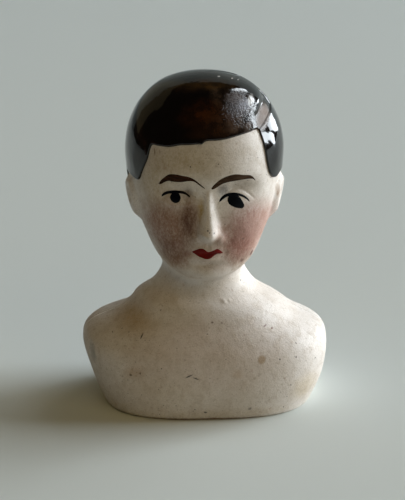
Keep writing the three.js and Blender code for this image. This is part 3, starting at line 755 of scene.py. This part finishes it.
flecked = mottle(tree, at, scale=2.2, detail=5, low=0.52, high=0.75)
color = blend(tree, times(tree, broad, 0.5), clay_white, clay_dull)
color = blend(tree, times(tree, patchy, 0.4), color, clay_patch)
color = blend(tree, times(tree, flecked, 0.45), color, clay_fleck)
# The brush went up and down the cheeks, so its strokes and bristle marks are drawn out that way.
brushed = vectors(tree, "MULTIPLY", stirred, (1.4, 1.4, 0.5))
strokes = mottle(tree, brushed, scale=1, detail=4, low=0.3, high=0.7)
bristled = vectors(tree, "MULTIPLY", stirred, (4, 4, 2))
bristles = mottle(tree, bristled, scale=1, detail=3, low=0.3, high=0.7)
strokes = sums(tree, "MULTIPLY_ADD", strokes, 0.25, sums(tree, "MULTIPLY_ADD", bristles, 0.35, 0.55))
color = tinted(tree, color, stirred, blush_soil_and_shade, strokes, "MULTIPLY")
color = tinted(tree, color, less_stirred(tree, at, stirred, 0.25), marks)
# Specks, the palest first: where they lie, dots to a millimetre, share shown, size, strength and colour.
for where, scale, amount, size, strength, tint in (
    (at, 1.1, 0.2, 0.12, 0.35, chip_white),
    (stirred, 0.8, 0.4, 0.24, 0.35, rust_brown),
    (stirred, 3.0, 0.5, 0.3, 0.4, pepper_brown),
    (stirred, 2.2, 0.9, 0.22, 0.65, fine_brown),
    (stirred, 0.9, 0.9, 0.14, 0.85, coarse_black),
):
    dots = specks(tree, where, scale, amount, size)
    color = blend(tree, times(tree, dots, strength), color, tint)
color = blend(tree, times(tree, grain, 0.3), color, grain_shade, "MULTIPLY")
inside = add_node(tree, "ShaderNodeAttribute", output=2, attribute_name="inside")
color = blend(tree, times(tree, inside, 0.8), color, inside_shade, "MULTIPLY")
tree.links.new(color, shader.inputs["Base Color"])
tree.links.new(fitted(tree, patchy, 0.0, 1.0, smooth_clay, rough_clay), shader.inputs["Roughness"])
relief = sums(tree, "MULTIPLY_ADD", grain, 0.3, times(tree, patchy, 0.7))
bumped(bisque, relief, clay_bump, clay_relief)

for name, angles, levels, node in (
    ("bisque_front_half", front_angles, front_levels, "front_shell"),
    ("bisque_rear_half", rear_angles, rear_levels, "rear_shell"),
):
    rings, faces = shell_half(angles, np.linspace(angles[0], angles[-1], inner_columns), levels)
    half = mesh_object(name, rings, faces, bisque)
    mark_inside(half, rings, len(angles))
    close_poles(half)
    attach(half, "root")
    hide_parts(node)

# The moulded hair: raised in the shell and covered with a thick dark brown glaze that ends in a rounded
# edge. It is parted on the doll's left, swept over to the right, and lower on the lock by the parting.
# The hairline and the parting run through these places on the form: angle in degrees, and level.
hairline_places = np.array([
    [-90, 10.35], [-60, 10.45], [-35, 10.9], [-18, 11.6], [-8, 12.6], [-3, 13.25], [3, 13.44],
    [20, 13.42], [28, 13.34], [34, 13.42], [38.8, 13.65], [41.3, 14], [42.6, 14.4], [43.9, 14.8],
    [44.8, 15.07], [45.1, 15.24], [49.2, 15.27], [55, 15.23], [64.8, 15.17], [80, 15.05], [92.8, 15.01],
    [97.8, 14.91], [110.5, 14.85], [119.5, 14.76], [129.2, 14.75], [135, 14.74], [136.4, 14.6],
    [138.2, 14.26], [141.5, 13.95], [145, 13.65], [148, 13.4], [151, 13.32], [160, 13.36], [174, 13.38],
    [182, 13.25], [188, 12.6], [198, 11.6], [215, 10.9], [240, 10.45], [270, 10.35],
])
parting_places = np.array([
    [-40, 17.6], [-25, 16.9], [-10, 16.25], [5, 15.8], [18, 15.66], [28, 15.57], [37, 15.4], [45.1, 15.24],
])
lock_height = 0.5 * mm
hair_edge = 0.12 * mm
hair_swell = 3 * mm
swell_share = 0.45
parting_height, parting_floor = 0.3 * mm, 1.4 * mm
parting_width, parting_foot = 1.2 * mm, 0.12 * mm
# The parting sets in and ends between these angles.
parting_starts, parting_ends = (-45, -10), (45, 48)
lobe_height = 0.5 * mm
lobe_radius = 3.8 * mm
lobe_level, lobe_angle = 16.2, 45
lobe_middle = plain_form(lobe_level, lobe_angle)
lock_near, lock_far = 0.6 * mm, 3 * mm
level_rise = head_rise / (crown_level - jaw_level)
angle_arc = head_half * math.radians(1)
centre_share = 0.45
head_centre = np.array([0, seam_offset, jaw_height + centre_share * head_rise])
# A bead of glaze hangs from the hairline over the forehead: place across and up, and size.
bead_place = np.array([-0.95, 42.3]) * mm
bead_size, bead_drop_share = 0.42 * mm, 0.6
glaze_depth = 0.1 * mm
edge_crowding = 1.2
curve_samples = 6001
places_at_once = 4000


def crowded(share, crowding):
    """The share s moved to s + crowding * sin(2 pi s) / (2 pi), which draws the middle together."""
    return share + crowding * np.sin(2 * math.pi * share) / (2 * math.pi)


def even_points(places, count, crowding):
    """Points along a centripetal Catmull-Rom curve through the places. Their spacing is even but for the
    crowding, a share by which it is closer in the middle of the curve and wider at its ends."""
    ends = np.concatenate([[2 * places[0] - places[1]], places, [2 * places[-1] - places[-2]]])
    knots = np.concatenate([[0], np.cumsum(np.linalg.norm(np.diff(ends, axis=0), axis=1) ** 0.5)])
    at = np.linspace(knots[1], knots[-2], curve_samples)
    i = np.clip(np.searchsorted(knots, at, side="right") - 1, 1, len(places) - 1)

    def between(left, right, a, b):
        share = ((at - knots[a]) / (knots[b] - knots[a]))[:, None]
        return left * (1 - share) + right * share

    p0, p1, p2, p3 = (ends[i + step] for step in (-1, 0, 1, 2))
    a1, a2, a3 = between(p0, p1, i - 1, i), between(p1, p2, i, i + 1), between(p2, p3, i + 1, i + 2)
    b1, b2 = between(a1, a2, i - 1, i + 1), between(a2, a3, i, i + 2)
    curve = between(b1, b2, i, i + 1)
    length = np.concatenate([[0], np.cumsum(np.linalg.norm(np.diff(curve, axis=0), axis=1))])
    even = length[-1] * crowded(np.linspace(0, 1, count + 1), crowding)
    return np.stack([np.interp(even, length, curve[:, axis]) for axis in range(2)], -1)


hair_columns = 460
hair_crowding = 0.45
hair_feet = even_points(hairline_places * np.array([angle_arc, level_rise]), hair_columns, hair_crowding)


def hair_depth(level, angle):
    """Least distance, laid out flat, from a place to the segments of the hairline."""
    place = np.stack(np.broadcast_arrays(angle * angle_arc, level * level_rise), -1).reshape(-1, 1, 2)
    start, along = hair_feet[:-1], np.diff(hair_feet, axis=0)
    nearest = []
    for part in np.array_split(place, max(1, len(place) // places_at_once)):
        share = ((part - start) * along).sum(-1) / (along ** 2).sum(-1)
        foot = start + np.clip(share, 0, 1)[..., None] * along
        nearest.append(np.linalg.norm(part - foot, axis=-1).min(-1))
    return np.concatenate(nearest).reshape(np.broadcast(level, angle).shape)


def hair_rise(level, angle):
    """Full height on the swept hair and more on the lobe that it forms above the parting. The lobe falls
    as a parabola to the parting's flat floor. The lock stands up from the other side of that floor and
    gains the full height further down."""
    above = (level - np.interp(angle, *parting_places.T)) * level_rise
    beside = smooth_rise(*parting_starts, angle) * (1 - smooth_rise(*parting_ends, angle))
    feet = parting_foot * np.linspace(-1, 1, 5) - parting_floor
    groove = beside * np.mean([np.clip(1 - (above + foot) / parting_width, 0, 1) ** 2 for foot in feet], 0)
    lock = lock_height + (hair_height - lock_height) * smooth_rise(lock_near, lock_far, -above)
    low = lock + (parting_height - lock) * smooth_rise(-parting_foot, parting_foot, above)
    off = np.linalg.norm(plain_form(level, angle) - lobe_middle, axis=-1)
    lobe = lobe_height * np.exp(-(off / lobe_radius) ** 2)
    return hair_height + lobe + (low - hair_height - lobe) * groove


def lifted(points, height):
    """Points moved outwards along lines from the middle of the head."""
    outward = points - head_centre
    return points + outward / np.linalg.norm(outward, axis=-1, keepdims=True) * height[..., None]


def glaze_cap(low_rows, dome_rows, inner_rows):
    """Columns start at even distances along the hairline and run together at the crown. The rolled edge
    follows (1 - (1 - d)^3)^(1/2) of the distance d from the hairline. The inner face lies just inside
    the skin."""
    low = np.linspace(0, 1, low_rows, endpoint=False) ** edge_crowding
    low = np.concatenate([low, np.ones(dome_rows)])[:, None]
    dome = np.concatenate([np.zeros(low_rows), np.linspace(0, 1, dome_rows)])[:, None]
    foot_angle, foot_level = hair_feet[:-1, 0] / angle_arc, hair_feet[:-1, 1] / level_rise
    around = crowded(np.arange(hair_columns) / hair_columns, hair_crowding)
    even_angle = hairline_places[0, 0] + 360 * around
    level = foot_level + (dome_level - foot_level) * low + (crown_level - dome_level) * dome
    share = np.linspace(0, 1, len(low))
    angle = foot_angle + (even_angle - foot_angle) * smooth_rise(0, 1, share)[:, None]
    depth = hair_depth(level, angle)
    inward = np.minimum(depth / hair_edge, 1)
    swell = smooth_rise(0, 1, depth / hair_swell)
    roll = (1 - swell_share) * np.sqrt(1 - (1 - inward) ** 3) + swell_share * swell
    outer = lifted(skin(level, angle), hair_rise(level, angle) * roll)
    bead = bell(outer[..., 0] - bead_place[0], outer[..., 2] - bead_place[1], bead_size, bead_size)
    bead = bead_size * bead * (outer[..., 1] < 0)
    outer[..., 1] -= bead
    outer[..., 2] -= bead_drop_share * bead
    thin = np.linspace(0, len(low) - 1, inner_rows).astype(int)[::-1]
    inner = lifted(skin(level[thin], angle[thin]), np.full_like(level[thin], -glaze_depth))
    rings = np.concatenate([inner, outer])
    return rings, [face[::-1] for face in grid_faces(len(rings), hair_columns, True)]


# The glaze pooled black on the doll's right, is red-brown in the middle and worn thin and pitted at the
# left, where the clay shows tan through it. Comb lines run over the head from side to side.
hair_tints = [
    [(-0.6, -7, 45.7), (4.6, 5, 2.6), 0.9, 10, 1, (0.055, 0.016, 0.003)],
    [(2.6, -7.5, 44.8), (4.2, 5, 2.6), 0.8, 15, 0.9, (0.05, 0.022, 0.011)],
    [(0.6, -8.5, 43.6), (4.8, 4, 1.2), 0.8, 8, 0.8, (0.045, 0.017, 0.006)],
    [(1.3, -4.8, 47.5), (1.2, 3, 2.4), 0.8, 10, 0.9, (0.075, 0.046, 0.028)],
    [(4.2, -6, 46.8), (3.6, 4, 2.6), 0.8, 20, 0.75, (0.075, 0.043, 0.028)],
    [(5.6, -7, 44.2), (1.2, 3, 0.9), 0.8, 10, 0.85, (0.018, 0.007, 0.004)],
    [(0, -3.2, 48.9), (6.5, 2.4, 1.8), 0.8, 0, 0.9, (0.06, 0.03, 0.008)],
    [(3.9, -7.6, 44.3), (2.6, 4, 1.4), 0.8, 15, 0.9, (0.1, 0.066, 0.048)],
    [(5.9, -7, 43.6), (1.4, 3, 1), 0.7, 25, 0.9, (0.11, 0.075, 0.058)],
    [(4.4, -5.9, 46.6), (3, 4, 2.4), 0.7, 20, 0.9, (0.1, 0.085, 0.085)],
    [(-9, -6.5, 40.4), (0.5, 2.5, 2.4), 0.9, 0, 0.9, (0.035, 0.011, 0.005)],
    [(-7.6, -7.4, 41.2), (0.6, 2.5, 1), 0.9, 20, 0.7, (0.03, 0.01, 0.005)],
    [(-9.8, -5.4, 39), (0.9, 3, 1), 0.8, 0, 0.5, (0.05, 0.035, 0.026)],
    [(-9.6, -5, 42.5), (0.8, 3, 3), 0.9, 0, 0.7, (0.03, 0.012, 0.006)],
]
# The glaze's colours where it is pooled, combed, pitted and bare, the white of its painted highlights,
# then its roughness and relief.
pooled_brown = (0.0035, 0.002, 0.0015)
comb_olive = (0.04, 0.027, 0.011)
pitted_tan = (0.16, 0.13, 0.11)
glint_white = (0.5, 0.48, 0.45)
bare_tan = (0.095, 0.062, 0.042)
polished_roughness, satin_roughness, bare_roughness = 0.07, 0.36, 0.5
glaze_relief, glaze_bump = 0.06 * mm, 0.5
# Painted highlights: small pale streaks at the top and right of the satin patch, where the window shows.
painted_glints = [
    [(4.7, -0.7, 49.1), (0.4, 0.5, 0.13), 0.6, 15, 0.7, glint_white],
    [(3.9, -0.8, 49.35), (0.4, 0.5, 0.13), 0.6, 15, 0.7, glint_white],
    [(2.1, -0.9, 49.8), (0.4, 0.5, 0.13), 0.6, 15, 0.7, glint_white],
    [(6.25, -4.4, 46.9), (0.6, 2, 1.3), 0.6, -25, 0.7, glint_white],
]
hair_material = principled("brown_glaze", (0.02, 0.009, 0.006), 0.12)
tree = hair_material.node_tree
shader = tree.nodes["Principled BSDF"]
at, stirred = places_in(tree, ragged=1.4)
slightly = less_stirred(tree, at, stirred, 0.3)
combed = vectors(tree, "MULTIPLY", at, (0.1, 2.2, 0.1))
crown = spot(tree, at, place=(-1, 0, 48), size=(10, 4.6, 4))
lines = times(tree, mottle(tree, combed, scale=1, detail=3, low=0.42, high=0.66), crown)
patches = mottle(tree, at, scale=0.8, detail=5, low=0.36, high=0.68)
patchy = sums(tree, "MULTIPLY_ADD", patches, 0.75, 0.25)
color = blend(tree, times(tree, lines, 0.8), pooled_brown, comb_olive)
color = tinted(tree, color, stirred, hair_tints, patchy)
worn = spot(tree, stirred, place=(4.6, -6.4, 46), size=(4.6, 5, 3.8), edge=0.7)
satin = spot(tree, stirred, place=(4.3, -5.4, 46.7), size=(2.2, 4, 2.4), edge=0.4, turn=25)
worn_pits = times(tree, specks(tree, at, scale=5, amount=0.85, size=0.4), worn)
color = blend(tree, times(tree, worn_pits, 0.6), color, pitted_tan)
# Painted highlights laid over the glaze.
color = tinted(tree, color, slightly, painted_glints)
bare = spot(tree, slightly, place=(8.3, -4.2, 44.6), size=(1.5, 4.8, 3), edge=0.65, turn=-32)
color = blend(tree, times(tree, bare, 0.95), color, bare_tan)
tree.links.new(color, shader.inputs["Base Color"])
sparkle = mottle(tree, at, scale=4, detail=1, low=0.4, high=0.6)
dulled = times(tree, satin, sums(tree, "MULTIPLY_ADD", sparkle, 0.6, 0.4))
rough = fitted(tree, dulled, 0.0, 1.0, polished_roughness, satin_roughness)
rough = sums(tree, "MULTIPLY_ADD", bare, bare_roughness, rough)
tree.links.new(rough, shader.inputs["Roughness"])
wavy = mottle(tree, at, scale=0.35, detail=2, low=0.2, high=0.8)
relief = sums(tree, "MULTIPLY_ADD", lines, 0.12, sums(tree, "MULTIPLY_ADD", worn_pits, -0.5, wavy))
relief = sums(tree, "MULTIPLY_ADD", times(tree, sparkle, worn), 0.6, relief)
bumped(hair_material, relief, glaze_bump, glaze_relief)
hair = close_poles(mesh_object("glazed_hair", *glaze_cap(low_rows=120, dome_rows=46, inner_rows=12),
                               hair_material))
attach(hair, "root")
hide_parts("hair_glaze")

# The painted face: brows, lid lines, irises and lips in thin fired enamel, laid on with a fine brush.
# Each mark is a low cushion of paint that follows the skin, with its edge sunk just under it.
thin_paint, lid_paint, thick_paint = 0.03 * mm, 0.04 * mm, 0.05 * mm
paint_sink = 0.008 * mm
halvings = 30


def front_place(x, z):
    """Level and angle of the front skin at a place across and up, by halving in on the level."""
    low, high = np.full_like(x, jaw_level, float), np.full_like(x, dome_level, float)
    for _ in range(halvings):
        level = (low + high) / 2
        columns = columns_at(level)
        share = (x - columns[6]) / columns[1]
        cos = np.sign(share) * np.clip(np.abs(share), 0, 1) ** (columns[7] / 2)
        angle = np.degrees(np.arccos(cos))
        below = plain_form(level, angle)[..., 2] < z
        low, high = np.where(below, level, low), np.where(below, high, level)
    return (low + high) / 2, angle


def through(rows, share):
    """The spline through the rows, evenly shared out among them."""
    rows = np.asarray(rows, float)
    ends = np.concatenate([2 * rows[:1] - rows[1:2], rows, 2 * rows[-1:] - rows[-2:-1]])
    at = share * (len(rows) - 1)
    start = np.clip(np.floor(at).astype(int), 0, len(rows) - 2)
    return spline(ends, start, (at - start)[:, None])


def paint_mark(shares, thickness, columns=90, rows=14):
    """Each row of shares is a place across with the mark's top and bottom there. The paint is a flat-topped
    arch, thickness times 1 - (2t - 1)^4 from bottom to top, and it dips under the skin at its edge."""
    share = 0.5 - 0.5 * np.cos(np.linspace(0, math.pi, columns))
    across, top, bottom = through(shares, share).T
    t = 0.5 - 0.5 * np.cos(np.linspace(0, math.pi, rows))
    x = np.broadcast_to(across * head_half, (rows, columns))
    z = jaw_height + head_rise * (bottom + (top - bottom) * t[:, None])
    points = skin(*front_place(x, z))
    arch = (1 - (2 * t[:, None] - 1) ** 4) * (1 - (2 * share - 1) ** 8)
    outer, inner = points.copy(), points[::-1].copy()
    outer[..., 1] -= thickness * arch - paint_sink * (1 - arch)
    inner[..., 1] += 2 * paint_sink
    rings = np.concatenate([outer, inner]).transpose(1, 0, 2)
    count = 2 * rows
    faces = grid_faces(columns, count, True)
    faces.append(list(range(count))[::-1])
    faces.append(list(range((columns - 1) * count, columns * count)))
    return rings, faces


right_eyebrow_shares = [
    [-0.625, 0.53, 0.52], [-0.59, 0.552, 0.526], [-0.55, 0.569, 0.538], [-0.5, 0.585, 0.547],
    [-0.43, 0.59, 0.544], [-0.34, 0.586, 0.546], [-0.25, 0.58, 0.555], [-0.18, 0.567, 0.553],
    [-0.11, 0.543, 0.532], [-0.035, 0.516, 0.511],
]
left_eyebrow_shares = [
    [0.035, 0.518, 0.51], [0.07, 0.536, 0.511], [0.12, 0.556, 0.522], [0.18, 0.572, 0.537],
    [0.26, 0.584, 0.545], [0.35, 0.588, 0.549], [0.45, 0.58, 0.552], [0.54, 0.572, 0.551],
    [0.585, 0.557, 0.546], [0.615, 0.537, 0.531],
]
right_lid_shares = [
    [-0.592, 0.469, 0.458], [-0.55, 0.485, 0.468], [-0.48, 0.494, 0.479], [-0.385, 0.497, 0.483],
    [-0.3, 0.493, 0.48], [-0.23, 0.474, 0.463],
]
left_lid_shares = [
    [0.138, 0.452, 0.441], [0.18, 0.471, 0.453], [0.245, 0.483, 0.467], [0.335, 0.485, 0.471],
    [0.425, 0.476, 0.463], [0.49, 0.46, 0.447], [0.537, 0.438, 0.429],
]
right_iris_shares = [
    [-0.487, 0.465, 0.458], [-0.465, 0.48, 0.443], [-0.418, 0.488, 0.435], [-0.37, 0.483, 0.443],
    [-0.35, 0.467, 0.46],
]
left_iris_shares = [
    [0.246, 0.456, 0.447], [0.27, 0.474, 0.43], [0.335, 0.479, 0.412], [0.395, 0.467, 0.404],
    [0.44, 0.442, 0.402], [0.466, 0.42, 0.411],
]
lips_shares = [
    [-0.212, 0.189, 0.184], [-0.165, 0.201, 0.173], [-0.12, 0.209, 0.163], [-0.072, 0.21, 0.157],
    [-0.04, 0.203, 0.154], [-0.005, 0.193, 0.154], [0.03, 0.196, 0.158], [0.07, 0.202, 0.168],
    [0.115, 0.207, 0.176], [0.155, 0.196, 0.176], [0.19, 0.181, 0.177],
]
# Painted light: the brow on the doll's left, the lit side, is painted in lighter browns than the brow in
# shade.
shaded_brow_browns = (0.012, 0.004, 0.0015), (0.05, 0.017, 0.006)
lit_brow_browns = (0.024, 0.011, 0.005), (0.07, 0.04, 0.022)
lip_reds = (0.17, 0.006, 0.004), (0.11, 0.005, 0.004)
brow_paint = principled("brow_enamel", (0.045, 0.02, 0.01), 0.6, Specular_IOR_Level=0.08)
tree = brow_paint.node_tree
at, stirred = places_in(tree, ragged=0.6)
drawn_out = vectors(tree, "MULTIPLY", stirred, (0.5, 0.5, 3))
brush_lines = mottle(tree, drawn_out, scale=1, detail=4, low=0.3, high=0.7)
# The lighter browns go on the lit left brow, as painted light.
lit_brow_side = spot(tree, at, place=(4.4, -9, 36.8), size=(5, 6, 4), edge=0.3)
dark, light = blend(tree, brush_lines, *shaded_brow_browns), blend(tree, brush_lines, *lit_brow_browns)
tree.links.new(blend(tree, lit_brow_side, dark, light), tree.nodes["Principled BSDF"].inputs["Base Color"])
eye_paint = principled("eye_enamel", (0.0015, 0.002, 0.004), 0.4, Specular_IOR_Level=0.08)
lip_paint = principled("lip_enamel", (0.16, 0.008, 0.008), 0.45, Specular_IOR_Level=0.12)
tree = lip_paint.node_tree
at = places_in(tree, ragged=0)[0]
worn_red = mottle(tree, at, scale=1.2, detail=3, low=0.3, high=0.7)
tree.links.new(blend(tree, worn_red, *lip_reds), tree.nodes["Principled BSDF"].inputs["Base Color"])
for name, shares, thickness, material, slot in (
    ("right_eyebrow", right_eyebrow_shares, thin_paint, brow_paint, "brow_enamel"),
    ("left_eyebrow", left_eyebrow_shares, thin_paint, brow_paint, "brow_enamel"),
    ("right_lid_line", right_lid_shares, lid_paint, eye_paint, "eye_enamel"),
    ("left_lid_line", left_lid_shares, lid_paint, eye_paint, "eye_enamel"),
    ("right_iris", right_iris_shares, thick_paint, eye_paint, "eye_enamel"),
    ("left_iris", left_iris_shares, thick_paint, eye_paint, "eye_enamel"),
    ("lips", lips_shares, thick_paint, lip_paint, "lip_enamel"),
):
    mark = close_poles(mesh_object(f"painted_{name}", *paint_mark(shares, thickness), material))
    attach(mark, "root")
    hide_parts(name)
